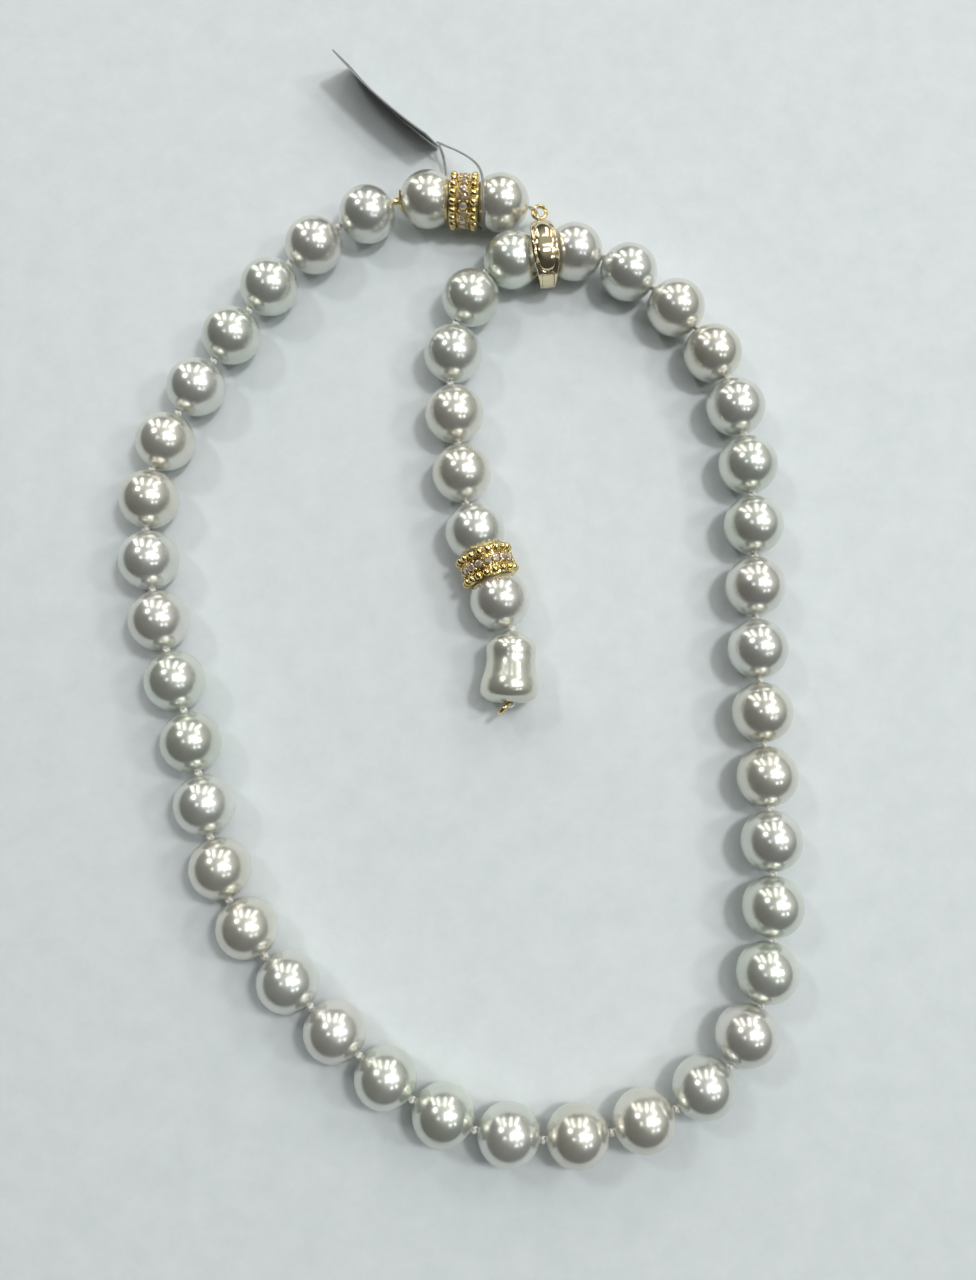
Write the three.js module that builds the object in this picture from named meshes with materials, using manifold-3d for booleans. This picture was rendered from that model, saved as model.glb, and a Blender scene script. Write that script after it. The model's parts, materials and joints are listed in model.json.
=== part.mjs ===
// Knotted pearl necklace with a lariat drop, laid flat on Z = 0. Millimetres, +Z up.
// The strand runs from the end ring at the clasp, round the loop, through the clasp and down the drop.
import * as THREE from "three";
import { mergeVertices } from "three/addons/utils/BufferGeometryUtils.js";
import Module from "manifold-3d";

const wasm = await Module();
wasm.setup();

// Pearls
const PEARL_RADIUS = 6;
const PEARL_COUNT = 46;
const PEARL_SIDES = 12;
const PEARL_ARC_STEPS = 6;
const HOLE_RADIUS = 0.7;
const MOUTH_RADIUS = 1.15;
const MOUTH_DEPTH = 0.8;

// Spacing along the strand: the gap that a knot usually leaves between two pearls, the runs of pearls
// (first, last, gap after each) tied looser or tighter, and the pairs with something else between them
const KNOT_GAP = 0.7;
const GAP_RUNS = [[3, 7, 1.15], [16, 24, 0.97], [25, 28, 0.5], [34, 38, 0.55], [41, 42, 1.1]];
const GAP_AFTER_PEARL = { 0: 0, 1: 3.5, 2: 1.5, 39: 1.8, 45: 2.9 };
const TOP_RONDELLE_AFTER = 1;
const DROP_RONDELLE_AFTER = 45;
const CLASP_AFTER = 39;
const CAP_AFTER = 2;

// The strand's lie on the table, and the axis height where the rondelle rides on the tag's strap
const LIE_Z = PEARL_RADIUS;
const RAISED_Z = 6.6;
const STRAND_ROUTE = [
  [8.3, 92.5, RAISED_Z], [-13, 95, RAISED_Z], [-25.7, 91.6], [-37.2, 84.4], [-46.3, 75.2], [-53.7, 63.9],
  [-60.7, 52.5], [-67, 41], [-69.8, 28.5], [-68.6, 16], [-66.5, 3.8], [-62.1, -8.6], [-55.3, -33], [-52.6, -45],
  [-46.8, -56.4], [-38.2, -66.5], [-19.6, -83.9], [-7.8, -91.4], [4.7, -94.5], [17.1, -94.6], [29.5, -91.8],
  [41.5, -85.9], [50.1, -76.1], [53.8, -64.3], [55.3, -52], [53.6, 4.6], [53.7, 30], [51, 49.1],
  [46.8, 60.8], [39.3, 70.6], [29.4, 78.3], [18.8, 83.6], [4.2, 82.1], [-4.4, 73], [-8.3, 59.8],
  [-6.9, 46.7], [-5.6, 34.2], [-3.3, 22.2], [2, 9], [7, -4],
];
const ROUTE_SAMPLES = 6000;

// Silk thread
const THREAD_RADIUS = 0.35;
const THREAD_SIDES = 8;
const KNOT_RADIUS = 0.85;
const LOOP_RADIUS = 0.85;
const LOOP_WIRE = 0.2;

// Baroque end pearl: radius at each distance from its top
const BAROQUE_PROFILE = [
  [1.15, 0], [1.7, 0.2], [3.1, 1], [4.2, 1.9], [4.65, 3.1], [4.5, 5.4], [5.1, 7.8], [5.8, 10.2],
  [5.75, 12.2], [4.9, 13.6], [3.4, 14.3], [2, 14.4],
];
const BAROQUE_AXIS = [-0.03, -1, 0];
const BAROQUE_SIDES = 18;
const BAROQUE_SOCKET_RADIUS = 1.45;
const BAROQUE_SOCKET_DEPTH = 1.7;
const BAROQUE_CORNER_GAIN = 0.05;
const BAROQUE_CORNER_TURN = 1.6;

// End rings
const RING_RADIUS = 1.45;
const RING_WIRE = 0.35;
const DROP_RING_DIRECTION = [0.68, 0.73, 0];

// Pave rondelles
const RONDELLE_SIDES = 18;
const RONDELLE_HALF_WIDTH = 3.1;
const RONDELLE_RADIUS = 5.4;
const CHANNEL_RADIUS = 4.6;
const CHANNEL_HALF_WIDTH = 1.3;
const BEADS_PER_ROW = 18;
const BEAD_RADIUS = 0.78;
const BEAD_ROW_RADIUS = 5.2;
const BEAD_ROW_OFFSET = 2.2;
const CUP_GAP = 0.3;
const STONE_INNER_RADIUS = 4.9;
const STONE_OUTER_RADIUS = 5.65;
const STONE_HALF_WIDTH = 0.95;

// Gold bead cap between the second and third pearls
const CAP_RADIUS = 2.4;
const CAP_THICKNESS = 0.3;
const CAP_BEAD_RADIUS = 0.75;
const CAP_BEAD_END = 7.35;

// Hinged clasp: x along the strand, y towards its hinge, z up
const CLASP_Z = RAISED_Z;
const CLASP_OUTER = [6.9, 6.4];
const CLASP_INNER = [5.6, 5.1];
const CLASP_STEPS = 36;
const FRONT_OUTLINE = [
  [0, 6.9], [1.5, 6.6], [2, 5.6], [2.5, 3], [2.7, 0], [2.7, -2.2], [2.5, -4.4], [2.1, -6.1], [1.5, -6.9],
];
const PANEL_OUTLINE = [[0, 5.2], [1.1, 4.6], [1.7, 2.6], [2, -0.4], [1.95, -3], [1.6, -4.5], [1, -5.2]];
const PANEL_SEMI_AXES = [5.2, 7.2, 6.75];
const GROOVE_SCALE = [1.12, 1.06];
const GROOVE_DEPTH = 0.3;
const BACK_HALF_WIDTH = 1.6;
const SPLIT_GAP = 0.3;
const TONGUE_HALF_WIDTH = 1.05;
const TONGUE_TOP = 3.25;
const NOTCH_HALF_WIDTH = 1.35;
const NOTCH_TOP = 3.55;
const HINGE_Y = 6.1;
const KNUCKLE_RADIUS = 0.95;
const KNUCKLE_CLEARANCE = 1.25;
const KNUCKLE_HALF = 0.6;
const LUG_INNER = 0.9;
const LUG_OUTER = 1.7;
const PIN_RADIUS = 0.4;
const PIN_BORE = 0.45;
const PIN_HALF_LENGTH = 1.7;
const EYE_RADIUS = 0.95;
const EYE_WIRE = 0.3;
const EYE_Y = 8.15;
const EYE_SLOT_REACH = 2.6;
const EYE_SLOT_HALF = 0.55;
const RING_LEAN = [0.28, 0.96, 0];

// Blank swing tag and its strap
const TAG_CORNER = [-10.8, 109.6];
const TAG_FAR_CORNER = [-30.9, 129];
const TAG_HEIGHT = 11;
const TAG_THICKNESS = 0.3;
const TAG_BOW = 0.8;
const TAG_BOW_STEPS = 6;
const TAG_LEAN = THREE.MathUtils.degToRad(21);
const STRAP_RADIUS = 0.15;
const STRAP_SIDES = 6;
const STRAP_STEPS = 34;
const STRAP_ROUTE = [
  [-10.95, 108.9, 2.9], [-10.1, 106.6, 2.6], [-9.5, 103.6, 1.7], [-9.4, 100.6, 0.9], [-9.1, 98.2, 0.4],
  [-8, 96, 0.28], [-5.3, 93.6, 0.28], [-2.6, 91.6, 0.32], [-1.35, 89.9, 1.4], [-1.3, 88.5, 4.4],
  [-1.3, 88.5, 8], [-1.3, 90.5, 11.1], [-1.4, 93.8, 12.2], [-1.6, 96.8, 11.6], [-2.4, 99.4, 10.6],
  [-3.9, 102, 8.9], [-6.4, 104.8, 6.9], [-9.2, 107, 5.4], [-11.4, 108.3, 4.9],
];

const UP = new THREE.Vector3(0, 0, 1);
const LATHE_AXIS = new THREE.Vector3(0, 1, 0);

function material(name, color, roughness, metalness) {
  const made = new THREE.MeshStandardMaterial({ color, roughness, metalness });
  made.name = name;
  return made;
}

const pearlMaterial = () => material("pearl", 0xdcdcd6, 0.2, 0);
const silkMaterial = () => material("silk", 0xf1efe8, 0.85, 0);
const yellowGoldMaterial = () => material("yellow_gold", 0xe0b64c, 0.2, 1);
const roseGoldMaterial = () => material("rose_gold", 0xe6c39c, 0.15, 1);
const stoneMaterial = () => material("stones", 0xf2e2cc, 0.05, 0);
const tagMaterial = () => material("tag", 0x6f7676, 0.5, 0);

function mesh(name, geometry, meshMaterial) {
  const made = new THREE.Mesh(geometry, meshMaterial);
  made.name = name;
  return made;
}

// --- solid modelling -------------------------------------------------------------------------------------

function toSolid(geometry) {
  const bare = geometry.clone();
  bare.deleteAttribute("normal");
  bare.deleteAttribute("uv");
  const merged = mergeVertices(bare, 1e-4);
  return new wasm.Manifold(
    new wasm.Mesh({
      numProp: 3,
      vertProperties: new Float32Array(merged.attributes.position.array),
      triVerts: new Uint32Array(merged.index.array),
    }),
  );
}

function toGeometry(body) {
  const made = body.getMesh();
  const geometry = new THREE.BufferGeometry();
  geometry.setAttribute("position", new THREE.BufferAttribute(made.vertProperties, 3));
  geometry.setIndex(new THREE.BufferAttribute(made.triVerts, 1));
  const flat = geometry.toNonIndexed();
  flat.computeVertexNormals();
  return flat;
}

function unionOf(geometries) {
  return geometries.map(toSolid).reduce((whole, piece) => whole.add(piece));
}

function closedLathe(profile, sides) {
  const points = profile.map(([radius, along]) => new THREE.Vector2(radius, along));
  points.push(points[0].clone());
  return new THREE.LatheGeometry(points, sides);
}

// A mesh whose own Y axis is turned to lie along a direction
function placeAlong(object, position, direction) {
  object.quaternion.setFromUnitVectors(LATHE_AXIS, direction);
  object.position.copy(position);
  return object;
}

// --- the strand's layout ---------------------------------------------------------------------------------

function strandRoute() {
  const points = STRAND_ROUTE.map(([x, y, z = LIE_Z]) => new THREE.Vector3(x, y, z));
  return new THREE.CatmullRomCurve3(points, false, "centripetal");
}

function gapAfter(pearl) {
  const run = GAP_RUNS.find(([first, last]) => pearl >= first && pearl <= last);
  return GAP_AFTER_PEARL[pearl] ?? run?.[2] ?? KNOT_GAP;
}

function between(a, b) {
  return a.clone().add(b).multiplyScalar(0.5);
}

function directionTo(from, to) {
  return to.clone().sub(from).normalize();
}

// The strand is a chain of straight links, one to a pearl, that bends only at its knots. The knots are
// stepped along the route, and each pearl sits on its link.
function strandLinks() {
  const samples = strandRoute().getSpacedPoints(ROUTE_SAMPLES);
  const knots = [samples[0].clone()];
  const centres = [];
  const axes = [];
  let next = 1;
  for (let pearl = 1; pearl <= PEARL_COUNT; pearl += 1) {
    const from = knots[pearl - 1];
    const before = gapAfter(pearl - 1) / 2 + PEARL_RADIUS;
    const length = before + PEARL_RADIUS + gapAfter(pearl) / 2;
    while (samples[next].distanceTo(from) < length) {
      next += 1;
    }
    const axis = directionTo(from, samples[next]);
    axes.push(axis);
    centres.push(from.clone().addScaledVector(axis, before));
    knots.push(from.clone().addScaledVector(axis, length));
  }
  return { knots, centres, axes };
}

const { knots, centres, axes } = strandLinks();

// --- the clasp's frame and the end ring ------------------------------------------------------------------

const claspCentre = between(centres[CLASP_AFTER - 1], centres[CLASP_AFTER]).setZ(CLASP_Z);
const claspAlong = directionTo(centres[CLASP_AFTER], centres[CLASP_AFTER - 1]);
const claspTurn = Math.atan2(claspAlong.y, claspAlong.x);
const claspToHinge = new THREE.Vector3(0, 1, 0).applyAxisAngle(UP, claspTurn);
const eyeCentre = claspCentre.clone().addScaledVector(claspToHinge, EYE_Y);
const ringCentre = eyeCentre.clone().addScaledVector(new THREE.Vector3(...RING_LEAN).normalize(), RING_RADIUS);
const ringFromPearl = directionTo(knots[0], ringCentre);

// --- pearls ----------------------------------------------------------------------------------------------

function pearlGeometry() {
  const mouthAngle = Math.asin(MOUTH_RADIUS / PEARL_RADIUS);
  const profile = [];
  for (let i = 0; i <= PEARL_ARC_STEPS; i += 1) {
    const angle = Math.PI - mouthAngle - (i / PEARL_ARC_STEPS) * (Math.PI - 2 * mouthAngle);
    profile.push([PEARL_RADIUS * Math.sin(angle), PEARL_RADIUS * Math.cos(angle)]);
  }
  const mouthAt = PEARL_RADIUS * Math.cos(mouthAngle);
  profile.push([HOLE_RADIUS, mouthAt - MOUTH_DEPTH], [HOLE_RADIUS, MOUTH_DEPTH - mouthAt]);
  return closedLathe(profile, PEARL_SIDES);
}

function roundPearls() {
  const geometry = pearlGeometry();
  return centres.map((centre, index) => {
    const name = `pearl_${String(index + 1).padStart(2, "0")}`;
    return placeAlong(mesh(name, geometry, pearlMaterial()), centre, axes[index]);
  });
}

// --- baroque end pearl -----------------------------------------------------------------------------------

const baroqueAxis = new THREE.Vector3(...BAROQUE_AXIS).normalize();
const baroqueTop = knots[PEARL_COUNT].clone().addScaledVector(baroqueAxis, KNOT_GAP / 2);

function baroquePearl() {
  const length = BAROQUE_PROFILE.at(-1)[1];
  const outside = BAROQUE_PROFILE.map(([radius, along]) => [radius, along]);
  const profile = [
    ...outside,
    [BAROQUE_SOCKET_RADIUS, length - BAROQUE_SOCKET_DEPTH],
    [HOLE_RADIUS, length - BAROQUE_SOCKET_DEPTH - 0.4],
    [HOLE_RADIUS, MOUTH_DEPTH],
  ];
  const geometry = closedLathe(profile, BAROQUE_SIDES);
  squareOneCorner(geometry, length);
  return placeAlong(mesh("baroque_pearl", geometry, pearlMaterial()), baroqueTop, baroqueAxis);
}

// The real pearl is fuller at one lower corner
function squareOneCorner(geometry, length) {
  const place = geometry.attributes.position;
  for (let i = 0; i < place.count; i += 1) {
    const [x, along, z] = [place.getX(i), place.getY(i), place.getZ(i)];
    const low = THREE.MathUtils.smoothstep(along, 0.7 * length, 0.95 * length);
    const facing = Math.max(0, Math.cos(Math.atan2(z, x) + BAROQUE_CORNER_TURN - Math.PI / 2));
    const outer = Math.hypot(x, z) > BAROQUE_SOCKET_RADIUS + 0.1 ? 1 : 0;
    const gain = 1 + BAROQUE_CORNER_GAIN * low * facing * outer;
    place.setXYZ(i, x * gain, along, z * gain);
  }
  geometry.computeVertexNormals();
}

// --- end rings -------------------------------------------------------------------------------------------

function ringGeometry() {
  return new THREE.TorusGeometry(RING_RADIUS, RING_WIRE, 6, 16);
}

function endRing() {
  const ring = mesh("end_ring", ringGeometry(), yellowGoldMaterial());
  ring.position.copy(ringCentre);
  return ring;
}

function dropLoopCentre() {
  return baroqueTop.clone().addScaledVector(baroqueAxis, BAROQUE_PROFILE.at(-1)[1] + 0.1);
}

function dropRing() {
  const ring = mesh("drop_ring", ringGeometry(), yellowGoldMaterial());
  const lean = new THREE.Vector3(...DROP_RING_DIRECTION).normalize();
  ring.position.copy(dropLoopCentre()).addScaledVector(lean, -RING_RADIUS);
  ring.rotation.set(Math.PI / 2, Math.atan2(lean.y, lean.x), 0, "ZXY");
  return ring;
}

// --- silk thread -----------------------------------------------------------------------------------------

// Stations of the thread: where it enters and leaves each hole, with a knot between two pearls
function threadStations() {
  const reach = PEARL_RADIUS - MOUTH_DEPTH / 2;
  const plainAfter = [TOP_RONDELLE_AFTER, CAP_AFTER, CLASP_AFTER, DROP_RONDELLE_AFTER];
  const stations = [];
  const add = (point, radius = THREAD_RADIUS) => stations.push({ point, radius });
  add(threadLoopCentre().addScaledVector(ringFromPearl, -LOOP_RADIUS));
  centres.forEach((centre, index) => {
    add(centre.clone().addScaledVector(axes[index], -reach));
    add(centre.clone().addScaledVector(axes[index], reach));
    add(knots[index + 1], plainAfter.includes(index + 1) ? THREAD_RADIUS : KNOT_RADIUS);
  });
  add(baroqueTop.clone().addScaledVector(baroqueAxis, MOUTH_DEPTH / 2));
  add(dropLoopCentre().addScaledVector(baroqueAxis, -LOOP_RADIUS));
  return stations;
}

// A closed round tube whose radius is set at each station
function sweptTube(stations, sides) {
  const positions = [];
  const index = [];
  stations.forEach(({ point, radius }, i) => {
    const before = stations[Math.max(0, i - 1)].point;
    const after = stations[Math.min(stations.length - 1, i + 1)].point;
    const tangent = directionTo(before, after);
    const side = new THREE.Vector3().crossVectors(UP, tangent).normalize();
    const over = new THREE.Vector3().crossVectors(tangent, side);
    for (let k = 0; k < sides; k += 1) {
      const angle = (k / sides) * 2 * Math.PI;
      const place = point.clone();
      place.addScaledVector(side, radius * Math.cos(angle));
      place.addScaledVector(over, radius * Math.sin(angle));
      positions.push(place.x, place.y, place.z);
    }
  });
  for (let i = 0; i < stations.length - 1; i += 1) {
    for (let k = 0; k < sides; k += 1) {
      const [a, b] = [i * sides + k, i * sides + ((k + 1) % sides)];
      index.push(a, b, b + sides, a, b + sides, a + sides);
    }
  }
  const last = (stations.length - 1) * sides;
  for (let k = 1; k < sides - 1; k += 1) {
    index.push(0, k + 1, k, last, last + k, last + k + 1);
  }
  const geometry = new THREE.BufferGeometry();
  geometry.setAttribute("position", new THREE.Float32BufferAttribute(positions, 3));
  geometry.setIndex(index);
  return geometry;
}

function threadLoopCentre() {
  return ringCentre.clone().addScaledVector(ringFromPearl, -RING_RADIUS);
}

// The loop of thread tied round each end ring
function threadLoop(centre, normal) {
  const loop = new THREE.TorusGeometry(LOOP_RADIUS, LOOP_WIRE, 6, 12);
  loop.applyQuaternion(new THREE.Quaternion().setFromUnitVectors(UP, normal));
  return loop.translate(centre.x, centre.y, centre.z);
}

function silkThread() {
  const across = new THREE.Vector3().crossVectors(UP, ringFromPearl).normalize();
  const body = unionOf([
    sweptTube(threadStations(), THREAD_SIDES),
    threadLoop(threadLoopCentre(), across),
    threadLoop(dropLoopCentre(), UP),
  ]);
  return mesh("silk_thread", toGeometry(body), silkMaterial());
}

// --- rondelles -------------------------------------------------------------------------------------------

// Half the distance between the pearls that sit in a rondelle's cups
function halfSeat(after) {
  return centres[after - 1].distanceTo(centres[after]) / 2;
}

function rondelleBody(seat) {
  const cup = PEARL_RADIUS + CUP_GAP;
  const cupAt = (radius) => seat - Math.sqrt(cup * cup - radius * radius);
  const cupEdge = Math.sqrt(cup * cup - (seat - RONDELLE_HALF_WIDTH) ** 2);
  const half = [
    [MOUTH_RADIUS, cupAt(MOUTH_RADIUS)],
    [2.7, cupAt(2.7)],
    [cupEdge, RONDELLE_HALF_WIDTH],
    [RONDELLE_RADIUS - 0.3, RONDELLE_HALF_WIDTH],
    [RONDELLE_RADIUS, RONDELLE_HALF_WIDTH - 0.3],
    [RONDELLE_RADIUS, CHANNEL_HALF_WIDTH],
    [CHANNEL_RADIUS, CHANNEL_HALF_WIDTH],
  ];
  const mirrored = half.map(([radius, along]) => [radius, -along]);
  return closedLathe([...half.reverse(), ...mirrored], RONDELLE_SIDES);
}

function rondelleGeometry(after) {
  const bead = new THREE.IcosahedronGeometry(BEAD_RADIUS, 0);
  const pieces = [rondelleBody(halfSeat(after))];
  for (const row of [-BEAD_ROW_OFFSET, BEAD_ROW_OFFSET]) {
    for (let i = 0; i < BEADS_PER_ROW; i += 1) {
      const angle = ((i + 0.5) / BEADS_PER_ROW) * 2 * Math.PI;
      const [x, z] = [BEAD_ROW_RADIUS * Math.sin(angle), BEAD_ROW_RADIUS * Math.cos(angle)];
      pieces.push(bead.clone().translate(x, row, z));
    }
  }
  return toGeometry(unionOf(pieces));
}

function stoneBandGeometry() {
  const bevel = 0.35;
  const profile = [
    [STONE_INNER_RADIUS, -STONE_HALF_WIDTH],
    [STONE_OUTER_RADIUS - bevel, -STONE_HALF_WIDTH],
    [STONE_OUTER_RADIUS, bevel - STONE_HALF_WIDTH],
    [STONE_OUTER_RADIUS, STONE_HALF_WIDTH - bevel],
    [STONE_OUTER_RADIUS - bevel, STONE_HALF_WIDTH],
    [STONE_INNER_RADIUS, STONE_HALF_WIDTH],
  ];
  return closedLathe(profile, RONDELLE_SIDES);
}

function rondelle(label, after) {
  const [from, to] = [centres[after - 1], centres[after]];
  const set = [
    mesh(`rondelle_${label}`, rondelleGeometry(after), yellowGoldMaterial()),
    mesh(`rondelle_${label}_stones`, stoneBandGeometry(), stoneMaterial()),
  ];
  return set.map((piece) => placeAlong(piece, between(from, to), directionTo(from, to)));
}

// --- bead cap --------------------------------------------------------------------------------------------

// A shallow dish against the pearl with a small bead behind it, both on the thread
function beadCap() {
  const near = PEARL_RADIUS + CUP_GAP;
  const far = near + CAP_THICKNESS;
  const on = (sphere, radius) => [radius, Math.sqrt(sphere * sphere - radius * radius)];
  const profile = [
    on(near, HOLE_RADIUS),
    on(near, CAP_RADIUS),
    on(far, CAP_RADIUS),
    on(far, CAP_BEAD_RADIUS + 0.05),
    [CAP_BEAD_RADIUS + 0.15, (far + CAP_BEAD_END) / 2],
    [CAP_BEAD_RADIUS, CAP_BEAD_END],
    [HOLE_RADIUS, CAP_BEAD_END],
  ];
  const index = CAP_AFTER - 1;
  const cap = mesh("bead_cap", closedLathe(profile, PEARL_SIDES), yellowGoldMaterial());
  return placeAlong(cap, centres[index], axes[index]);
}

// --- clasp -----------------------------------------------------------------------------------------------

function ovalPoints([across, high]) {
  return new THREE.EllipseCurve(0, 0, across, high).getPoints(CLASP_STEPS).slice(0, -1);
}

// A prism of a side view (y, z), centred on x = 0
function sidePrism(points, halfWidth) {
  const prism = new THREE.ExtrudeGeometry(new THREE.Shape(points), { depth: 2 * halfWidth, bevelEnabled: false });
  prism.translate(0, 0, -halfWidth);
  const turn = new THREE.Matrix4().makeBasis(new THREE.Vector3(0, 1, 0), UP, new THREE.Vector3(1, 0, 0));
  return toSolid(prism.applyMatrix4(turn));
}

// A prism of a plan view (x, y), mirrored about x = 0, from z = 0 up
function planPrism(outline, [widen, lengthen] = [1, 1]) {
  const middle = (outline[0][1] + outline.at(-1)[1]) / 2;
  const right = outline.map(([x, y]) => new THREE.Vector2(x * widen, middle + (y - middle) * lengthen));
  const left = right.filter(({ x }) => x > 0).map(({ x, y }) => new THREE.Vector2(-x, y));
  const shape = new THREE.Shape([...right, ...left.reverse()]);
  return toSolid(new THREE.ExtrudeGeometry(shape, { depth: 2 * CLASP_OUTER[0], bevelEnabled: false }));
}

function block([x0, x1], [y0, y1], [z0, z1]) {
  const box = new THREE.BoxGeometry(x1 - x0, y1 - y0, z1 - z0);
  return toSolid(box.translate((x0 + x1) / 2, (y0 + y1) / 2, (z0 + z1) / 2));
}

// A cylinder along x at the hinge
function hingeCylinder(radius, from, to) {
  const cylinder = new THREE.CylinderGeometry(radius, radius, to - from, 16);
  cylinder.rotateZ(Math.PI / 2);
  return toSolid(cylinder.translate((from + to) / 2, HINGE_Y, 0));
}

function ovalBand(outer, inner, halfWidth) {
  return sidePrism(ovalPoints(outer), halfWidth).subtract(sidePrism(ovalPoints(inner), halfWidth + 1));
}

function claspFront() {
  const reach = 2 * CLASP_OUTER[0];
  const width = Math.max(...FRONT_OUTLINE.map(([x]) => x)) + 1;
  const inner = sidePrism(ovalPoints(CLASP_INNER), width + 1);
  const floor = CLASP_OUTER.map((semi) => semi - GROOVE_DEPTH);
  const panel = planPrism(PANEL_OUTLINE);
  const trench = planPrism(PANEL_OUTLINE, GROOVE_SCALE).intersect(ovalBand([reach, reach], floor, width));
  const dome = toSolid(new THREE.SphereGeometry(1, 24, 16).scale(...PANEL_SEMI_AXES));
  const notch = block([-NOTCH_HALF_WIDTH, NOTCH_HALF_WIDTH], [-reach, 0], [-1, NOTCH_TOP]);
  return ovalBand(CLASP_OUTER, CLASP_INNER, width)
    .intersect(planPrism(FRONT_OUTLINE))
    .subtract(trench)
    .add(panel.intersect(dome).subtract(inner).subtract(block([-width, width], [-reach, reach], [-1, 2])))
    .subtract(block([-width, width], [-reach, reach], [-1, SPLIT_GAP / 2]))
    .subtract(notch)
    .subtract(hingeCylinder(KNUCKLE_CLEARANCE, -LUG_INNER, LUG_INNER))
    .subtract(hingeCylinder(EYE_SLOT_REACH, -EYE_SLOT_HALF, EYE_SLOT_HALF))
    .add(hingeCylinder(KNUCKLE_RADIUS, -LUG_OUTER, -LUG_INNER))
    .add(hingeCylinder(KNUCKLE_RADIUS, LUG_INNER, LUG_OUTER))
    .subtract(hingeCylinder(PIN_BORE, -width, width));
}

function claspBack() {
  const reach = 2 * CLASP_OUTER[0];
  const width = BACK_HALF_WIDTH;
  const tongueRing = ovalBand(CLASP_OUTER, CLASP_INNER, TONGUE_HALF_WIDTH);
  const tongue = tongueRing.intersect(block([-reach, reach], [-reach, 0], [-1, TONGUE_TOP]));
  const eye = new THREE.TorusGeometry(EYE_RADIUS, EYE_WIRE, 6, 14);
  eye.rotateY(Math.PI / 2).translate(0, EYE_Y, 0);
  return ovalBand(CLASP_OUTER, CLASP_INNER, width)
    .subtract(block([-reach, reach], [-reach, reach], [-SPLIT_GAP / 2, reach]))
    .add(tongue)
    .subtract(hingeCylinder(KNUCKLE_CLEARANCE, -width - 1, -KNUCKLE_HALF))
    .subtract(hingeCylinder(KNUCKLE_CLEARANCE, KNUCKLE_HALF, width + 1))
    .add(hingeCylinder(KNUCKLE_RADIUS, -KNUCKLE_HALF, KNUCKLE_HALF))
    .subtract(hingeCylinder(PIN_BORE, -width, width))
    .add(toSolid(eye));
}

function clasp() {
  const pin = hingeCylinder(PIN_RADIUS, -PIN_HALF_LENGTH, PIN_HALF_LENGTH);
  const group = new THREE.Group();
  group.name = "clasp";
  group.add(
    mesh("clasp_back", toGeometry(claspBack()), roseGoldMaterial()),
    mesh("clasp_front", toGeometry(claspFront()), roseGoldMaterial()),
    mesh("clasp_pin", toGeometry(pin), roseGoldMaterial()),
  );
  group.position.copy(claspCentre);
  group.rotation.z = claspTurn;
  return group;
}

// --- tag -------------------------------------------------------------------------------------------------

// A thin sheet standing on its long edge, bowed a little and leaning over
function swingTag() {
  const near = new THREE.Vector2(...TAG_CORNER);
  const far = new THREE.Vector2(...TAG_FAR_CORNER);
  const length = near.distanceTo(far);
  const edge = (side) => {
    const points = [];
    for (let i = 0; i <= TAG_BOW_STEPS; i += 1) {
      const at = i / TAG_BOW_STEPS;
      points.push(new THREE.Vector2(at * length, 4 * TAG_BOW * at * (1 - at) + side * (TAG_THICKNESS / 2)));
    }
    return points;
  };
  const outline = new THREE.Shape([...edge(-1), ...edge(1).reverse()]);
  const geometry = new THREE.ExtrudeGeometry(outline, { depth: TAG_HEIGHT, bevelEnabled: false });
  geometry.rotateX(-TAG_LEAN);
  geometry.computeBoundingBox();
  geometry.translate(0, 0, 0.05 - geometry.boundingBox.min.z);
  const tag = mesh("swing_tag", geometry, tagMaterial());
  tag.position.set(near.x, near.y, 0);
  tag.rotation.z = Math.atan2(far.y - near.y, far.x - near.x);
  return tag;
}

function tagStrap() {
  const points = STRAP_ROUTE.map(([x, y, z]) => new THREE.Vector3(x, y, z));
  const extrudePath = new THREE.CatmullRomCurve3(points, false, "centripetal");
  const round = new THREE.EllipseCurve(0, 0, STRAP_RADIUS, STRAP_RADIUS).getPoints(STRAP_SIDES).slice(0, -1);
  const options = { steps: STRAP_STEPS, extrudePath, bevelEnabled: false };
  return mesh("tag_strap", new THREE.ExtrudeGeometry(new THREE.Shape(round), options), tagMaterial());
}

// --- assembly --------------------------------------------------------------------------------------------

const group = new THREE.Group();
group.name = "pearl_necklace";
group.add(
  clasp(),
  endRing(),
  ...roundPearls(),
  ...rondelle("top", TOP_RONDELLE_AFTER),
  beadCap(),
  ...rondelle("drop", DROP_RONDELLE_AFTER),
  baroquePearl(),
  dropRing(),
  silkThread(),
  swingTag(),
  tagStrap(),
);

// The origin is the middle of the underside of the whole necklace
group.updateMatrixWorld(true);
const extent = new THREE.Box3().setFromObject(group, true);
const middle = extent.getCenter(new THREE.Vector3());
group.position.set(-middle.x, -middle.y, -extent.min.z);

export default group;
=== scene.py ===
import json
import math

import bmesh
import bpy
import numpy as np
from mathutils import Matrix, Vector, noise


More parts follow.
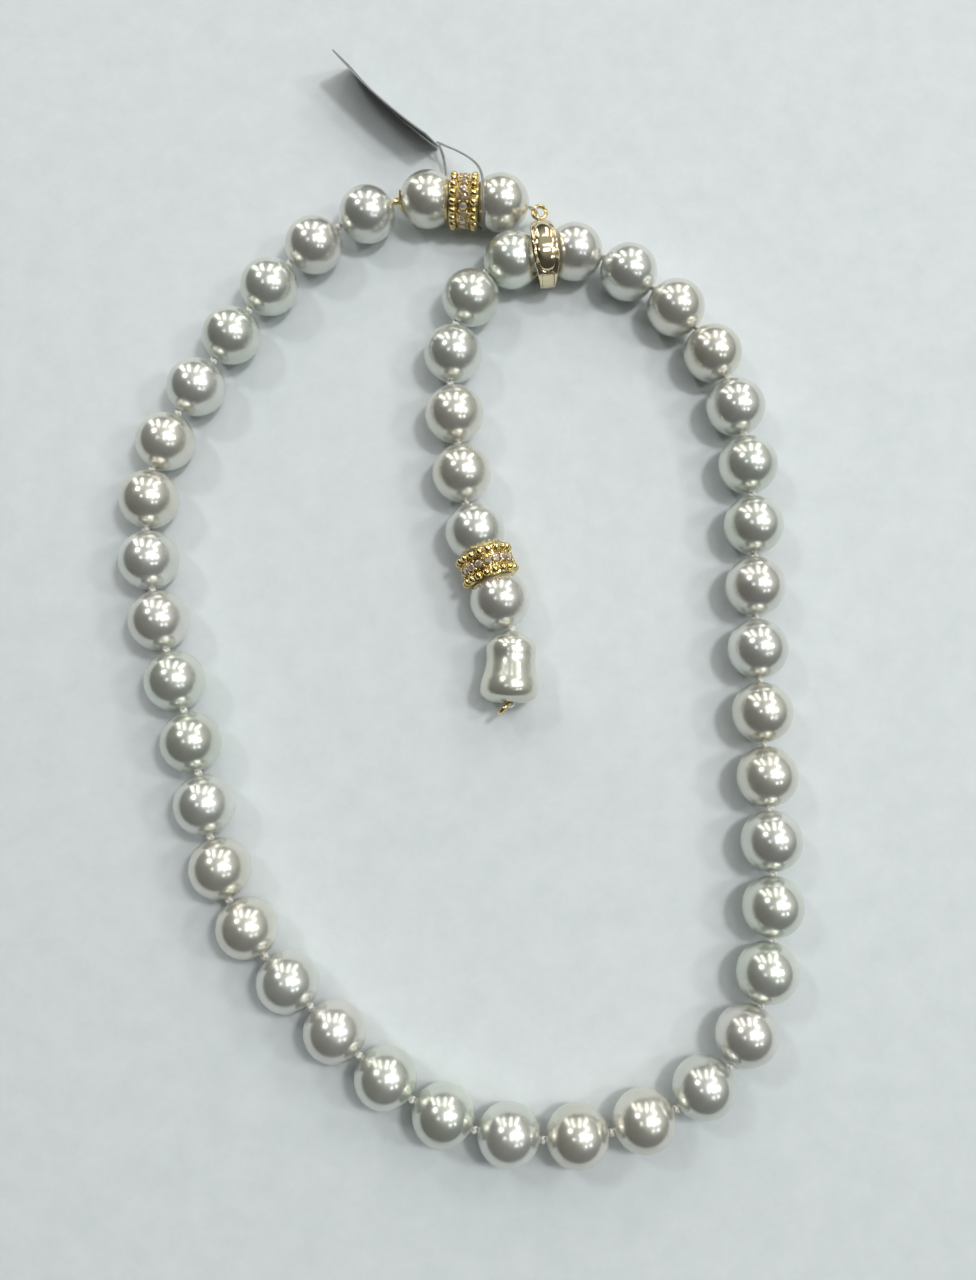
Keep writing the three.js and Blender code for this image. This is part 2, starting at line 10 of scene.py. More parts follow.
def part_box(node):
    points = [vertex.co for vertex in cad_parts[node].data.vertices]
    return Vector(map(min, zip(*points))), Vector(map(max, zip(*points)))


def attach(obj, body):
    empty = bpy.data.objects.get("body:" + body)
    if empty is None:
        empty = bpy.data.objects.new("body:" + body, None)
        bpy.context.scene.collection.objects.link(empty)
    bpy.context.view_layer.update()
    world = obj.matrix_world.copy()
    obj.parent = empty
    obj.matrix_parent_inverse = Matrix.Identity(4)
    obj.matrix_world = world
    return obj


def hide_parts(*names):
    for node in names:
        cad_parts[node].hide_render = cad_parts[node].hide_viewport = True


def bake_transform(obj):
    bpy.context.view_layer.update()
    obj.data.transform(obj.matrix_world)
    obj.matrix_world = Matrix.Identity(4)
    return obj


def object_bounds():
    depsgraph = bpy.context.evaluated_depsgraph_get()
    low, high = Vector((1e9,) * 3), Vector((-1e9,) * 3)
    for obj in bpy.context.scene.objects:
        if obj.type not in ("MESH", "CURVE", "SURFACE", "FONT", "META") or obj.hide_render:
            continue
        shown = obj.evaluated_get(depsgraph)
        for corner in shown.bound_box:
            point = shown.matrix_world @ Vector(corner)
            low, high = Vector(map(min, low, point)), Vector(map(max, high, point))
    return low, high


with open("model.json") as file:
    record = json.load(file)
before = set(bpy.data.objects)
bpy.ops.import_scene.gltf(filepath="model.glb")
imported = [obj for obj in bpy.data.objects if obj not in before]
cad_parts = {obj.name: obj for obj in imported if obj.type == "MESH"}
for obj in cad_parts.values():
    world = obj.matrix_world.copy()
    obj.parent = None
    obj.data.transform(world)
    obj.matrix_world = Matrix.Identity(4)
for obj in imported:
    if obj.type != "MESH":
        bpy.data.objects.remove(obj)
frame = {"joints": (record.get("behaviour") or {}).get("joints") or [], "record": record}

CAD_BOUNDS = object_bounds()
MM = 0.001

# Strand
PEARL_COUNT = 46
PEARL_RADIUS = 6
PEARL_SEGMENTS = 56
PEARL_ARC_STEPS = 34
HOLE_RADIUS = 0.5
LIP_RADIUS = 0.68
LIP_DEPTH = 0.14
KNOT_GAP = 0.7
CLASPED_PEARL = 39
SEATED_AFTER = (1, 45)
PLAIN_AFTER = (0, 2, 39)
GOLDEN_TURN = math.radians(137.5)

# Silk
PLY_RADIUS = 0.19
PLY_OFFSET = 0.16
PLY_TURNS_PER_MM = 0.45
KNOT_RADIUS = 0.84
KNOT_CORD = 0.27
KNOT_STEPS = 72
KNOT_DEPTH = 0.42
LOOP_RADIUS = 0.85
LOOP_CORD = 0.2
THREAD_REACH = 0.1
SEAT_REACH = 0.12

# Rondelles
RONDELLE_SEGMENTS = 72
RONDELLE_HALF_WIDTH = 3.1
RONDELLE_RADIUS = 4.95
CHANNEL_RADIUS = 4.6
CHANNEL_HALF_WIDTH = 1.35
CUP_GAP = 0.12
BEADS_PER_ROW = 18
BEAD_RADIUS = 0.82
BEAD_ROW_RADIUS = 5.18
BEAD_ROW_OFFSET = 2.2
STONE_RADIUS = 0.82
STONE_SEAT_RADIUS = 5.25
PRONG_RADIUS = 0.3
PRONG_OFFSET = 0.82
PRONG_ROW_RADIUS = STONE_SEAT_RADIUS + 0.12

# Bead cap
CAP_RADIUS = 2.4
CAP_THICKNESS = 0.22
COIL_RADIUS = 0.63
COIL_WIRE = 0.17
COIL_TURNS = 4
COIL_PITCH = 2 * COIL_WIRE * 0.9 * 0.55
CAP_SEGMENTS = 64
PETALS = 8
PETALS_FROM = 1.6
PETAL_DEPTH = 0.1

# End rings
RING_RADIUS = 1.4
RING_WIRE = 0.42

# Baroque pearl: radius at each distance from its top
BAROQUE_PROFILE = (
    (0.75, 0.0), (1.6, 0.3), (3.0, 1.05), (4.15, 1.9), (4.8, 3.0), (5.0, 4.2), (4.92, 5.6), (4.98, 7.0),
    (5.3, 8.6), (5.7, 10.3), (5.72, 12.0), (5.25, 13.2), (4.2, 14.0), (2.9, 14.35), (1.7, 14.4),
)
BAROQUE_SEGMENTS = 64
BAROQUE_STEPS = 60
SOCKET_RADIUS = 1.45
SOCKET_LIP = 0.35
SOCKET_DEPTH = 1.7
SOCKET_FLOOR = 2.1
TOP_HOLE_DEPTH = 0.7

# Its irregular skin, away from the holes: one full lower corner, soft lumps and a dimple in the waist
SKIN_RADIUS = 1.6
SKIN_BLEND = 1.5
CORNER_GAIN = 0.05
CORNER_START = 0.6
CORNER_RUN = 0.3
LUMP_GAIN = 0.035
LUMPS_PER_MM = 0.16
LUMP_SHIFT = Vector((0, 0, 7))
DIMPLE_GAIN = 0.035
DIMPLE_ALONG = 5.6
DIMPLE_SPREAD = 1.5
DIMPLE_TURN = 1.2

# Hinged clasp: x along the strand, y towards its hinge, z up
CLASP_OUTER = (6.9, 6.4)
CLASP_INNER = (5.6, 5.1)
HINGE_Y = 6.1
EYE_Y = 8.15
EYE_RADIUS = 0.95
EYE_WIRE = 0.3
FRONT_WIDTHS = (
    (-6.9, 1.75), (-6.1, 2.15), (-4.4, 2.5), (-2.2, 2.68), (0, 2.7), (3, 2.5), (5.6, 2.0), (6.6, 1.6), (6.9, 1.5),
)
PANEL_WIDTHS = (
    (-5.5, 0), (-5.4, 0.95), (-4.9, 1.5), (-3.2, 1.95), (-1, 2.05), (2.2, 1.8), (4.4, 1.2), (5.2, 0.65), (5.45, 0),
)
PANEL_RISE = 0.4
GROOVE_DEPTH = 0.24
GROOVE_WIDTH = 0.1
GROOVE_OFFSET = 0.1
DOME_RUN = 1.5
LID_EDGE = (0.86, 0.22)
BACK_EDGE = (0.8, 0.12)
INNER_SHARES = (1, 0.94, 0, -0.94, -1)
INNER_LIFT = 0.12
LID_STEPS = 150
LID_ACROSS = 61
TONGUE_STEPS = 30
BACK_STEPS = 90
BACK_ACROSS = 25
BACK_HALF_WIDTH = 1.6
TONGUE_HALF_WIDTH = 1.2
TONGUE_TOP = 3.5
NOTCH_HALF_WIDTH = 1.28
NOTCH_TOP = 3.62
KNUCKLE_RADIUS = 0.95
KNUCKLE_HALF = 0.8
KNUCKLE_GAP = 0.08
CUT_BEVEL = 0.01
CUT_REACH = 3
SPLIT_HEIGHT = 0.1
STEP_WIDTH = 1e-4
LUG_INNER = 0.87
LUG_OUTER = 1.7
EYE_SLOT_REACH = 2.5
EYE_SLOT_HALF = 0.5
PIN_RADIUS = 0.4
PIN_HALF_LENGTH = 1.82

# Tag and strap, in the millimetres of the strand's route
TAG_CORNER = (-10.8, 109.6)
TAG_FAR_CORNER = (-30.9, 129)
TAG_HEIGHT = 11
TAG_THICKNESS = 0.3
TAG_BOW = 0.8
TAG_LEAN = math.radians(21)
TAG_CORNER_RADIUS = 0.8
TABLE_CLEARANCE = 0.05
STRAP_WIDTH = 0.55
STRAP_THICKNESS = 0.14
STRAP_SECTION = (
    (-1, -0.6), (-0.85, -1), (0.85, -1), (1, -0.6), (1, 0.6), (0.85, 1), (-0.85, 1), (-1, 0.6),
)
ALONG_STRAND = Vector((1, 0.1, 0))
STRAP_ROUTE = (
    (-10.95, 108.9, 2.9), (-10.1, 106.6, 2.6), (-9.5, 103.6, 1.7), (-9.4, 100.6, 0.9), (-9.1, 98.2, 0.45),
    (-8, 96, 0.38), (-5.3, 93.6, 0.38), (-2.6, 91.6, 0.42), (-1.35, 89.9, 1.4), (-1.3, 88.5, 4.4),
    (-1.3, 88.5, 8), (-1.3, 90.5, 11.1), (-1.4, 93.8, 12.2), (-1.6, 96.8, 11.6), (-2.4, 99.4, 10.6),
    (-3.9, 102, 8.9), (-6.4, 104.8, 6.9), (-9.2, 107, 5.4), (-11.4, 108.3, 4.9),
)

UP = Vector((0, 0, 1))


# --- places from the frame -------------------------------------------------------------------------------

JOINTS = {joint["name"]: joint for joint in frame["joints"]}
BODY_OF = {node: body for body, nodes in frame["record"]["behaviour"]["bodies"].items() for node in nodes}


def joint_at(name):
    return Vector(JOINTS[name]["pos_m"])


def middle(node):
    low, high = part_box(node)
    return (low + high) / 2


def pearl_name(number):
    return f"pearl_{number:02d}"


def find_knots():
    """Where each knot lies: at its joint, or where two pearls that have no joint between them meet evenly."""
    knots = {}
    for number in range(PEARL_COUNT + 1):
        name = "thread_39" if number == CLASPED_PEARL else f"knot_{number:02d}"
        if name in JOINTS:
            knots[number] = joint_at(name)
        elif number not in SEATED_AFTER:
            here, there = middle(pearl_name(number)), middle(pearl_name(number + 1))
            axis = (here - knots[number - 1]).normalized()
            way = there - here
            knots[number] = here + axis * way.length_squared / (2 * axis.dot(way))
    return knots


def pearl_axis(number):
    """The direction of a pearl's hole, along the strand."""
    if number in KNOTS:
        return (KNOTS[number] - middle(pearl_name(number))).normalized()
    return (middle(pearl_name(number)) - KNOTS[number - 1]).normalized()


KNOTS = find_knots()


def pose(origin, y_axis, z_hint=UP, spin=0.0):
    """A matrix with its Y axis along y_axis and its Z axis as near z_hint as it can be."""
    y = Vector(y_axis).normalized()
    x = y.cross(z_hint).normalized()
    z = x.cross(y)
    turned = Matrix((x, y, z)).transposed().to_4x4()
    return Matrix.Translation(origin) @ turned @ Matrix.Rotation(spin, 4, "Y")


# --- mesh building ---------------------------------------------------------------------------------------

def grid_faces(rows, columns, wrap_rows=False, wrap_columns=False):
    faces = []
    for i in range(rows if wrap_rows else rows - 1):
        for j in range(columns if wrap_columns else columns - 1):
            right, below = (j + 1) % columns, (i + 1) % rows
            faces.append((i * columns + j, i * columns + right, below * columns + right, below * columns + j))
    return faces


def lathe(profile, segments):
    """A closed profile of (radius, along) points turned about the Y axis."""
    points = []
    for radius, along in profile:
        for k in range(segments):
            angle = 2 * math.pi * k / segments
            points.append((radius * math.sin(angle), along, radius * math.cos(angle)))
    return points, grid_faces(len(profile), segments, wrap_rows=True, wrap_columns=True)


def tube(path, radius, sides=8, closed=False):
    """A round tube along a list of points, with its ends capped unless it closes on itself."""
    count = len(path)
    path = [Vector(p) for p in path]
    points = []
    side = None
    for i, here in enumerate(path):
        before = path[i - 1] if closed or i > 0 else here
        after = path[(i + 1) % count] if closed or i < count - 1 else here
        tangent = (after - before).normalized()
        side = side or tangent.orthogonal()
        side = (side - tangent * side.dot(tangent)).normalized()
        over = tangent.cross(side)
        for k in range(sides):
            angle = 2 * math.pi * k / sides
            points.append(here + radius * (math.cos(angle) * side + math.sin(angle) * over))
    faces = grid_faces(count, sides, wrap_rows=closed, wrap_columns=True)
    if not closed:
        faces.append(tuple(range(sides)))
        faces.append(tuple(reversed(range((count - 1) * sides, count * sides))))
    return points, faces


def torus(radius, wire, around=48, sides=14):
    """A ring in the XY plane."""
    path = []
    for k in range(around):
        angle = 2 * math.pi * k / around
        path.append((radius * math.cos(angle), radius * math.sin(angle), 0))
    return tube(path, wire, sides, closed=True)


def ball(radius, centre, rings=10, segments=16):
    """A closed ball as points and faces."""
    points = [Vector(centre) + Vector((0, 0, radius))]
    for i in range(1, rings):
        angle = math.pi * i / rings
        for k in range(segments):
            turn = 2 * math.pi * k / segments
            flat = radius * math.sin(angle)
            points.append(Vector(centre) + Vector(
                (flat * math.cos(turn), flat * math.sin(turn), radius * math.cos(angle))))
    points.append(Vector(centre) - Vector((0, 0, radius)))
    faces = [(0, 1 + k, 1 + (k + 1) % segments) for k in range(segments)]
    for quad in grid_faces(rings - 1, segments, wrap_columns=True):
        faces.append(tuple(reversed([1 + index for index in quad])))
    last = len(points) - 1
    start = last - segments
    faces += [(last, start + (k + 1) % segments, start + k) for k in range(segments)]
    return points, faces


def smooth_path(points, per_span):
    """A smooth curve through the points, as a list of them."""
    ends = [2 * points[0] - points[1], *points, 2 * points[-1] - points[-2]]
    path = []
    for i in range(1, len(ends) - 2):
        a, b, c, d = ends[i - 1:i + 3]
        for k in range(per_span):
            t = k / per_span
            path.append(0.5 * (2 * b + (c - a) * t + (2 * a - 5 * b + 4 * c - d) * t ** 2
                               + (3 * b - a - 3 * c + d) * t ** 3))
    path.append(points[-1])
    return path


def moved(shape, matrix):
    points, faces = shape
    return [matrix @ Vector(p) for p in points], faces


def joined(shapes):
    points, faces = [], []
    for more_points, more_faces in shapes:
        start = len(points)
        points += [Vector(p) for p in more_points]
        faces += [tuple(start + index for index in face) for face in more_faces]
    return points, faces


def build(name, shape, material, matrix=Matrix.Identity(4), sharp_angle=35):
    """A mesh object from a shape in millimetres, put in its place by a matrix in metres."""
    points, faces = shape
    mesh = bpy.data.meshes.new(name)
    mesh.from_pydata([tuple(matrix @ (Vector(p) * MM)) for p in points], [], faces)
    work = bmesh.new()
    work.from_mesh(mesh)
    bmesh.ops.recalc_face_normals(work, faces=work.faces)
    work.to_mesh(mesh)
    work.free()
    mesh.shade_smooth()
    if sharp_angle is not None:
        mesh.set_sharp_from_angle(angle=math.radians(sharp_angle))
    mesh.materials.append(material)
    made = bpy.data.objects.new(name, mesh)
    bpy.context.scene.collection.objects.link(made)
    return made


def fit(piece, node, slot, *replaced):
    """Ties a piece to a node's body and hides the CAD nodes that it stands for. The slot is not used."""
    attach(piece, BODY_OF[node])
    if replaced:
        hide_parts(*replaced)
    return piece


def carve(target, tool, operation):
    """Applies one boolean with a tool object, and removes the tool."""
    step = target.modifiers.new("carve", "BOOLEAN")
    step.operation = operation
    step.solver = "EXACT"
    step.object = tool
    bpy.context.view_layer.update()
    evaluated = target.evaluated_get(bpy.context.evaluated_depsgraph_get())
    result = bpy.data.meshes.new_from_object(evaluated)
    target.modifiers.clear()
    target.data = result
    bpy.data.objects.remove(tool)
    return target


# --- materials -------------------------------------------------------------------------------------------

class Look:
    """A node material with the few kinds of node that these finishes use."""

    def __init__(self, name, **sockets):
        self.material = bpy.data.materials.new(name)
        self.material.use_nodes = True
        self.nodes = self.material.node_tree.nodes
        self.links = self.material.node_tree.links
        self.shader = self.nodes["Principled BSDF"]
        self.place = self.nodes.new("ShaderNodeTexCoord").outputs["Object"]
        for socket, value in sockets.items():
            self.shader.inputs[socket.replace("_", " ")].default_value = value

    def noise(self, per_metre, detail=3.0, roughness=0.5, stretch=(1, 1, 1)):
        scale = self.nodes.new("ShaderNodeMapping")
        scale.inputs["Scale"].default_value = stretch
        self.links.new(self.place, scale.inputs["Vector"])
        made = self.nodes.new("ShaderNodeTexNoise")
        made.inputs["Scale"].default_value = per_metre
        made.inputs["Detail"].default_value = detail
        made.inputs["Roughness"].default_value = roughness
        self.links.new(scale.outputs["Vector"], made.inputs["Vector"])
        return made.outputs["Fac"]

    def wave(self, per_metre, distortion):
        made = self.nodes.new("ShaderNodeTexWave")
        made.inputs["Scale"].default_value = per_metre
        made.inputs["Distortion"].default_value = distortion
        self.links.new(self.place, made.inputs["Vector"])
        return made.outputs["Fac"]

    def colours(self, factor, *stops):
        ramp = self.nodes.new("ShaderNodeValToRGB")
        elements = ramp.color_ramp.elements
        for k, (at, colour) in enumerate(stops):
            element = elements[k] if k < len(elements) else elements.new(at)
            element.position = at
            element.color = (*colour, 1)
        self.links.new(factor, ramp.inputs["Fac"])
        self.links.new(ramp.outputs["Color"], self.shader.inputs["Base Color"])
        return self

    def rough(self, factor, low, high):
        spread = self.nodes.new("ShaderNodeMapRange")
        spread.inputs["From Min"].default_value = 0.3
        spread.inputs["From Max"].default_value = 0.7
        spread.inputs["To Min"].default_value = low
        spread.inputs["To Max"].default_value = high
        self.links.new(factor, spread.inputs["Value"])
        self.links.new(spread.outputs["Result"], self.shader.inputs["Roughness"])
        return self

    def bump(self, factor, strength, distance):
        made = self.nodes.new("ShaderNodeBump")
        made.inputs["Strength"].default_value = strength
        made.inputs["Distance"].default_value = distance
        self.links.new(factor, made.inputs["Height"])
        self.links.new(made.outputs["Normal"], self.shader.inputs["Normal"])
        return self


def nacre(name, light, deep):
    """Silver-white nacre: a lustrous skin with soft clouds of overtone over a pale body."""
    look = Look(name, Metallic=0.74, Coat_Weight=0.4, Coat_Roughness=0.12, Coat_IOR=1.5)
    look.colours(look.noise(120, detail=2), (0.35, deep), (0.65, light))
    look.rough(look.noise(420, detail=4), 0.2, 0.27)
    look.bump(look.noise(700, detail=3), 0.07, 0.00005)
    return look.material


def make_materials():
    made = {
        "nacre_neutral": nacre("nacre_neutral", (0.78, 0.79, 0.745), (0.69, 0.71, 0.655)),
        "nacre_rose": nacre("nacre_rose", (0.79, 0.78, 0.735), (0.70, 0.69, 0.64)),
        "nacre_green": nacre("nacre_green", (0.76, 0.79, 0.725), (0.67, 0.70, 0.625)),
        "nacre_cream": nacre("nacre_cream", (0.79, 0.78, 0.71), (0.70, 0.69, 0.61)),
    }
    silk = Look("silk_thread", Sheen_Weight=0.35, Sheen_Roughness=0.4)
    silk.colours(silk.noise(2600, detail=4), (0.3, (0.72, 0.71, 0.66)), (0.7, (0.90, 0.89, 0.85)))
    silk.rough(silk.noise(1800), 0.62, 0.8)
    silk.bump(silk.wave(1400, 1.5), 0.5, 0.00005)
    made["silk"] = silk.material

    gold = Look("yellow_gold", Metallic=1.0)
    gold.colours(gold.noise(300, detail=2), (0.3, (0.76, 0.59, 0.24)), (0.7, (0.86, 0.71, 0.36)))
    gold.rough(gold.noise(900, detail=5, stretch=(1, 6, 1)), 0.09, 0.2)
    gold.bump(gold.noise(2200, detail=5), 0.08, 0.00003)
    made["gold"] = gold.material

    rose = Look("rose_gold", Metallic=1.0)
    rose.colours(rose.noise(260, detail=2), (0.3, (0.76, 0.64, 0.42)), (0.7, (0.86, 0.76, 0.55)))
    rose.rough(rose.noise(800, detail=5, stretch=(1, 5, 1)), 0.05, 0.11)
    rose.bump(rose.noise(1800, detail=5), 0.06, 0.00003)
    made["rose"] = rose.material

    stone = Look("pave_stone", IOR=2.2, Transmission_Weight=0.35, Metallic=0.55, Coat_Weight=0.6)
    stone.colours(stone.noise(500, detail=1), (0.35, (0.66, 0.50, 0.36)), (0.65, (0.94, 0.86, 0.74)))
    stone.rough(stone.noise(900), 0.01, 0.05)
    made["stone"] = stone.material

    card = Look("tag_card", Coat_Weight=0.2, Coat_Roughness=0.3)
    card.colours(card.noise(700, detail=6), (0.3, (0.055, 0.06, 0.062)), (0.7, (0.085, 0.09, 0.092)))
    card.rough(card.noise(1500, detail=4), 0.38, 0.55)
    card.bump(card.noise(4000, detail=4), 0.15, 0.00004)
    made["card"] = card.material

    edge = Look("tag_edge")
    edge.colours(edge.noise(3000, detail=5), (0.3, (0.30, 0.32, 0.33)), (0.7, (0.42, 0.44, 0.45)))
    edge.rough(edge.noise(2500), 0.6, 0.8)
    edge.bump(edge.noise(6000, detail=3), 0.3, 0.00005)
    made["card_edge"] = edge.material

    strap = Look("strap_plastic", Transmission_Weight=0.15, IOR=1.5)
    strap.colours(strap.noise(900, detail=3), (0.3, (0.24, 0.25, 0.25)), (0.7, (0.34, 0.35, 0.35)))
    strap.rough(strap.noise(1800, stretch=(1, 8, 1)), 0.25, 0.4)
    made["strap"] = strap.material
    made["nacre_baroque"] = nacre("nacre_baroque", (0.80, 0.80, 0.71), (0.69, 0.70, 0.61))
    return made


MATERIALS = make_materials()


# --- pearls ----------------------------------------------------------------------------------------------

def pearl_shape():
    """A round pearl with its drilled hole, the hole's lip a little worn."""
    lip_angle = math.asin(LIP_RADIUS / PEARL_RADIUS)
    lip_at = PEARL_RADIUS * math.cos(lip_angle)
    inside = lip_at - LIP_DEPTH
    profile = [(HOLE_RADIUS, -inside), (HOLE_RADIUS, 0), (HOLE_RADIUS, inside)]
    for i in range(PEARL_ARC_STEPS + 1):
        angle = lip_angle + (math.pi - 2 * lip_angle) * i / PEARL_ARC_STEPS
        profile.append((PEARL_RADIUS * math.sin(angle), PEARL_RADIUS * math.cos(angle)))
    return lathe(profile, PEARL_SEGMENTS)


TINT_CYCLE = (
    "nacre_neutral", "nacre_green", "nacre_neutral", "nacre_cream", "nacre_green", "nacre_rose", "nacre_cream",
)


def make_pearls():
    shape = pearl_shape()
    for number in range(1, PEARL_COUNT + 1):
        node = pearl_name(number)
        place = pose(middle(node), pearl_axis(number), spin=GOLDEN_TURN * number)
        tint = MATERIALS[TINT_CYCLE[(number * 3) % len(TINT_CYCLE)]]
        fit(build(f"{node}_nacre", shape, tint, place), node, "pearl", node)


# --- baroque pearl ---------------------------------------------------------------------------------------

def smooth_profile(points, steps):
    """Points evenly spaced along a smooth curve through a few others."""
    dense = smooth_path([Vector((*p, 0)) for p in points], per_span=12)
    lengths = np.cumsum([0] + [(q - p).length for p, q in zip(dense, dense[1:])])
    spaced = np.linspace(0, lengths[-1], steps)
    across, along = ([p[axis] for p in dense] for axis in (0, 1))
    return [(float(np.interp(s, lengths, across)), float(np.interp(s, lengths, along))) for s in spaced]


def make_baroque():
    top = joint_at("knot_46")
    axis = (joint_at("drop_ring_swing") - top).normalized()
    length = BAROQUE_PROFILE[-1][1]
    profile = smooth_profile(BAROQUE_PROFILE, BAROQUE_STEPS)
    profile += [(SOCKET_RADIUS, length - SOCKET_LIP), (SOCKET_RADIUS, length - SOCKET_DEPTH)]
    profile += [(HOLE_RADIUS, length - SOCKET_FLOOR), (HOLE_RADIUS, TOP_HOLE_DEPTH)]
    points, faces = lathe(profile, BAROQUE_SEGMENTS)
    shaped = []
    for x, along, z in points:
        radius = math.hypot(x, z)
        if radius < SKIN_RADIUS:
            shaped.append((x, along, z))
            continue
        angle = math.atan2(z, x)
        low = min(1, max(0, (along / length - CORNER_START) / CORNER_RUN))
        corner = CORNER_GAIN * low * max(0, math.cos(angle))
        lump = LUMP_GAIN * noise.noise(Vector((x, along, z)) * LUMPS_PER_MM + LUMP_SHIFT)
        waist = math.exp(-((along - DIMPLE_ALONG) / DIMPLE_SPREAD) ** 2)
        dimple = -DIMPLE_GAIN * waist * max(0, math.cos(angle - DIMPLE_TURN))
        gain = 1 + corner + (lump + dimple) * min(1, (radius - SKIN_RADIUS) / SKIN_BLEND)
        shaped.append((x * gain, along, z * gain))
    place = pose(top + axis * KNOT_GAP / 2 * MM, axis)
    piece = build("baroque_nacre", (shaped, faces), MATERIALS["nacre_baroque"], place)
    fit(piece, "baroque_pearl", "pearl", "baroque_pearl")


# --- silk ------------------------------------------------------------------------------------------------

def two_ply(length):
    """Two twisted strands along Y, from 0 to length."""
    steps = max(8, round(length * 5))
    strands = []
    for start in (0, math.pi):
        path = []
        for k in range(steps + 1):
            along = length * k / steps
            angle = start + 2 * math.pi * PLY_TURNS_PER_MM * along
            path.append((PLY_OFFSET * math.cos(angle), along, PLY_OFFSET * math.sin(angle)))
        strands.append(tube(path, PLY_RADIUS, sides=7))
    return joined(strands)


def knot_shape():
    """An overhand knot drawn tight, about the Y axis."""
    path = []
    for k in range(KNOT_STEPS):
        t = 2 * math.pi * k / KNOT_STEPS
        x = (math.sin(t) + 2 * math.sin(2 * t)) / 3
        z = (math.cos(t) - 2 * math.cos(2 * t)) / 3
        y = -math.sin(3 * t) * KNOT_DEPTH
        path.append(Vector((x, y, z)) * (KNOT_RADIUS - KNOT_CORD))
    return tube(path, KNOT_CORD, sides=8, closed=True)


def thread_between(name, node, start, end):
    """A straight run of thread that rides with one node's body."""
    way = end - start
    piece = build(name, two_ply(way.length / MM), MATERIALS["silk"], pose(start, way), sharp_angle=None)
    fit(piece, node, "silk", "silk_thread")


def make_silk():
    knot = knot_shape()
    for number in range(1, PEARL_COUNT + 1):
        node = pearl_name(number)
        centre, axis = middle(node), pearl_axis(number)
        reach = axis * (PEARL_RADIUS + THREAD_REACH) * MM
        start, end = KNOTS.get(number - 1, centre - reach), KNOTS.get(number, centre + reach)
        thread_between(f"{node}_thread", node, start, end)
        if number in KNOTS and number not in PLAIN_AFTER:
            place = pose(end, axis, spin=GOLDEN_TURN * number)
            fit(build(f"{node}_knot", knot, MATERIALS["silk"], place, sharp_angle=None), node, "silk")
    for label, (first, second) in {"top": (1, 2), "drop": (45, 46)}.items():
        a, b = middle(pearl_name(first)), middle(pearl_name(second))
        way = (b - a).normalized() * (PEARL_RADIUS + SEAT_REACH) * MM
        thread_between(f"rondelle_{label}_thread", f"rondelle_{label}", a + way, b - way)
    baroque_axis = (joint_at("drop_ring_swing") - joint_at("knot_46")).normalized()
    loop_at = joint_at("drop_ring_swing")
    thread_between("baroque_thread", "baroque_pearl", joint_at("knot_46"), loop_at - baroque_axis * LOOP_RADIUS * MM)
    loop = torus(LOOP_RADIUS, LOOP_CORD, around=36, sides=8)
    drop_loop = build("drop_loop", loop, MATERIALS["silk"], Matrix.Translation(loop_at), sharp_angle=None)
    fit(drop_loop, "baroque_pearl", "silk")
    ring = middle("end_ring")
    from_pearl = (ring - joint_at("knot_00")).normalized()
    loop_at = ring - from_pearl * RING_RADIUS * MM
    across = UP.cross(from_pearl).normalized()
    place = pose(loop_at, from_pearl, z_hint=across)
    fit(build("clasp_loop", loop, MATERIALS["silk"], place, sharp_angle=None), "end_ring", "silk")
    end = joint_at("knot_00")
    thread_between("clasp_loop_thread", "end_ring", loop_at - from_pearl * LOOP_RADIUS * MM, end)


# --- rings -----------------------------------------------------------------------------------------------

def make_rings():
    shape = torus(RING_RADIUS, RING_WIRE, around=64, sides=18)
    place = Matrix.Translation(middle("end_ring"))
    fit(build("end_ring_wire", shape, MATERIALS["gold"], place), "end_ring", "yellow_gold", "end_ring")
    centre = middle("drop_ring")
    lean = joint_at("drop_ring_swing") - centre
    place = pose(centre, (lean.x, lean.y, 0), z_hint=UP) @ Matrix.Rotation(math.pi / 2, 4, "Y")
    fit(build("drop_ring_wire", shape, MATERIALS["gold"], place), "drop_ring", "yellow_gold", "drop_ring")


# --- rondelles -------------------------------------------------------------------------------------------

def rondelle_frame(seat):
    """The gold frame: a channel for the stones between two flanges, cupped for the pearls at its ends."""
    cup = PEARL_RADIUS + CUP_GAP

    def cup_at(radius):
        return seat - math.sqrt(cup ** 2 - radius ** 2)

    cup_edge = math.sqrt(cup ** 2 - (seat - RONDELLE_HALF_WIDTH) ** 2)
    half = [(0.9, cup_at(0.9)), (1.8, cup_at(1.8)), (2.7, cup_at(2.7))]
    half += [(cup_edge, RONDELLE_HALF_WIDTH - 0.04), (cup_edge + 0.08, RONDELLE_HALF_WIDTH)]
    half += [(RONDELLE_RADIUS - 0.45, RONDELLE_HALF_WIDTH), (RONDELLE_RADIUS - 0.12, RONDELLE_HALF_WIDTH - 0.1)]
    half += [(RONDELLE_RADIUS, RONDELLE_HALF_WIDTH - 0.35), (RONDELLE_RADIUS, CHANNEL_HALF_WIDTH + 0.12)]
    half += [(RONDELLE_RADIUS - 0.1, CHANNEL_HALF_WIDTH), (CHANNEL_RADIUS, CHANNEL_HALF_WIDTH)]
    mirrored = [(radius, -along) for radius, along in half]
    return lathe([*reversed(half), *mirrored], RONDELLE_SEGMENTS)


def round_place(angle, radius, along):
    """Where something stands on a rondelle, and which way is out."""
    out = Vector((math.sin(angle), 0, math.cos(angle)))
    return out * radius + Vector((0, along, 0)), out


